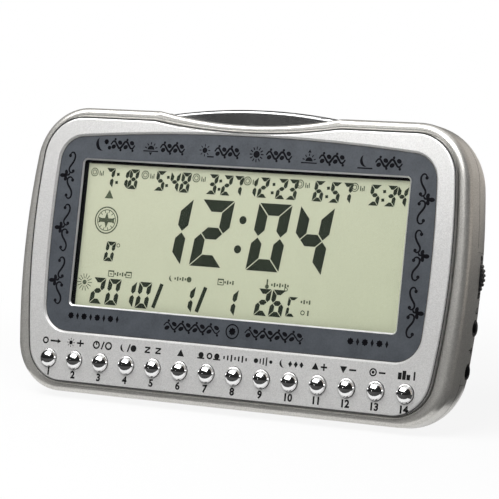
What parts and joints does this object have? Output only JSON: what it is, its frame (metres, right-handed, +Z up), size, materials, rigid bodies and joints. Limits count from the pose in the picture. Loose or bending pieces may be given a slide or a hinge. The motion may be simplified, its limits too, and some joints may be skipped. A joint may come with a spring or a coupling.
{
  "type": "desk alarm clock",
  "caption": "Free-standing desk clock with a leaning silver face, a wide LCD, a row of domed keys, a top snooze bar and a fold-out leg.",
  "frame": {"origin": "desk level, midway between the clock's foremost and rearmost points, on its centre line", "axes": "+X to the clock's right as seen from the front, +Y backwards, +Z up; the face leans back 11.86 degrees"},
  "size_m": [0.1871, 0.0576, 0.1096],
  "materials": {
    "silver_case": "silver-grey metallic paint on moulded plastic, satin",
    "silver_panel": "pale silver metallic paint on moulded plastic, satin",
    "printed_plate": "slate grey printed plate with black ornament",
    "clear_lens": "clear acrylic pane",
    "display_glass": "grey-green liquid-crystal panel with dark segments",
    "light_guide": "milky light guide",
    "black_plastic": "black moulded plastic",
    "rubber": "dark grey rubber",
    "circuit_board": "green solder mask",
    "bright_steel": "plated steel",
    "magnet": "dark ferrite in a plated cup",
    "paper_cone": "black pressed paper",
    "battery_sleeve": "plain dark sleeve",
    "chrome": "bright chrome plating on plastic"
  },
  "bodies": {
    "root": {"front_frame": "silver_case", "back_cover": "silver_case", "front_panel": "silver_panel", "bezel_plate": "printed_plate", "display_lens": "clear_lens", "lcd_glass": "display_glass", "backlight_panel": "light_guide", "lcd_holder": "black_plastic", "key_switches": "black_plastic", "snooze_switch": "black_plastic", "earphone_jack": "black_plastic", "dc_jack": "black_plastic", "clock_chip": "black_plastic", "sound_chip": "black_plastic", "capacitors": "black_plastic", "contact_strip_lower": "rubber", "contact_strip_upper": "rubber", "front_feet": "rubber", "main_board": "circuit_board", "snooze_board": "circuit_board", "clock_crystal": "bright_steel", "board_screws": "bright_steel", "case_screws": "bright_steel", "volume_pot": "bright_steel", "battery_contacts": "bright_steel", "battery_springs": "bright_steel", "speaker_frame": "bright_steel", "stand_pin": "bright_steel", "speaker_magnet": "magnet", "speaker_cone": "paper_cone", "battery_left": "battery_sleeve", "battery_right": "battery_sleeve"},
    "button_01": {"button_01": "chrome"},
    "button_02": {"button_02": "chrome"},
    "button_03": {"button_03": "chrome"},
    "button_04": {"button_04": "chrome"},
    "button_05": {"button_05": "chrome"},
    "button_06": {"button_06": "chrome"},
    "button_07": {"button_07": "chrome"},
    "button_08": {"button_08": "chrome"},
    "button_09": {"button_09": "chrome"},
    "button_10": {"button_10": "chrome"},
    "button_11": {"button_11": "chrome"},
    "button_12": {"button_12": "chrome"},
    "button_13": {"button_13": "chrome"},
    "button_14": {"button_14": "chrome"},
    "snooze_bar": {"snooze_bar": "chrome"},
    "volume_wheel": {"volume_wheel": "black_plastic"},
    "battery_door": {"battery_door": "silver_case"},
    "stand_leg": {"stand_leg": "silver_case", "stand_pad": "rubber"}
  },
  "joints": [
    {"name": "press_01", "type": "slide", "parent": "root", "child": "button_01", "axis": [0, 0.9787, -0.2055], "range_m": [0, 0.0008], "stiffness_N_per_m": 800, "springref_m": -0.0006},
    {"name": "press_02", "type": "slide", "parent": "root", "child": "button_02", "axis": [0, 0.9787, -0.2055], "range_m": [0, 0.0008], "stiffness_N_per_m": 800, "springref_m": -0.0006},
    {"name": "press_03", "type": "slide", "parent": "root", "child": "button_03", "axis": [0, 0.9787, -0.2055], "range_m": [0, 0.0008], "stiffness_N_per_m": 800, "springref_m": -0.0006},
    {"name": "press_04", "type": "slide", "parent": "root", "child": "button_04", "axis": [0, 0.9787, -0.2055], "range_m": [0, 0.0008], "stiffness_N_per_m": 800, "springref_m": -0.0006},
    {"name": "press_05", "type": "slide", "parent": "root", "child": "button_05", "axis": [0, 0.9787, -0.2055], "range_m": [0, 0.0008], "stiffness_N_per_m": 800, "springref_m": -0.0006},
    {"name": "press_06", "type": "slide", "parent": "root", "child": "button_06", "axis": [0, 0.9787, -0.2055], "range_m": [0, 0.0008], "stiffness_N_per_m": 800, "springref_m": -0.0006},
    {"name": "press_07", "type": "slide", "parent": "root", "child": "button_07", "axis": [0, 0.9787, -0.2055], "range_m": [0, 0.0008], "stiffness_N_per_m": 800, "springref_m": -0.0006},
    {"name": "press_08", "type": "slide", "parent": "root", "child": "button_08", "axis": [0, 0.9787, -0.2055], "range_m": [0, 0.0008], "stiffness_N_per_m": 800, "springref_m": -0.0006},
    {"name": "press_09", "type": "slide", "parent": "root", "child": "button_09", "axis": [0, 0.9787, -0.2055], "range_m": [0, 0.0008], "stiffness_N_per_m": 800, "springref_m": -0.0006},
    {"name": "press_10", "type": "slide", "parent": "root", "child": "button_10", "axis": [0, 0.9787, -0.2055], "range_m": [0, 0.0008], "stiffness_N_per_m": 800, "springref_m": -0.0006},
    {"name": "press_11", "type": "slide", "parent": "root", "child": "button_11", "axis": [0, 0.9787, -0.2055], "range_m": [0, 0.0008], "stiffness_N_per_m": 800, "springref_m": -0.0006},
    {"name": "press_12", "type": "slide", "parent": "root", "child": "button_12", "axis": [0, 0.9787, -0.2055], "range_m": [0, 0.0008], "stiffness_N_per_m": 800, "springref_m": -0.0006},
    {"name": "press_13", "type": "slide", "parent": "root", "child": "button_13", "axis": [0, 0.9787, -0.2055], "range_m": [0, 0.0008], "stiffness_N_per_m": 800, "springref_m": -0.0006},
    {"name": "press_14", "type": "slide", "parent": "root", "child": "button_14", "axis": [0, 0.9787, -0.2055], "range_m": [0, 0.0008], "stiffness_N_per_m": 800, "springref_m": -0.0006},
    {"name": "press_snooze", "type": "slide", "parent": "root", "child": "snooze_bar", "axis": [0, -0.2055, -0.9787], "range_m": [0, 0.0012], "stiffness_N_per_m": 900, "springref_m": -0.001},
    {"name": "turn_volume", "type": "hinge", "parent": "root", "child": "volume_wheel", "pos_m": [0.0839, -0.00194, 0.0545], "axis": [0, -0.9787, 0.2055], "range_deg": [-135, 135]},
    {"name": "open_battery_door", "type": "hinge", "parent": "root", "child": "battery_door", "pos_m": [-0.0495, 0.0228, 0.0796], "axis": [1, 0, 0], "range_deg": [0, 90]},
    {"name": "fold_stand", "type": "hinge", "parent": "root", "child": "stand_leg", "pos_m": [0, 0.01592, 0.05995], "axis": [1, 0, 0], "range_deg": [-22, 0]}
  ]
}
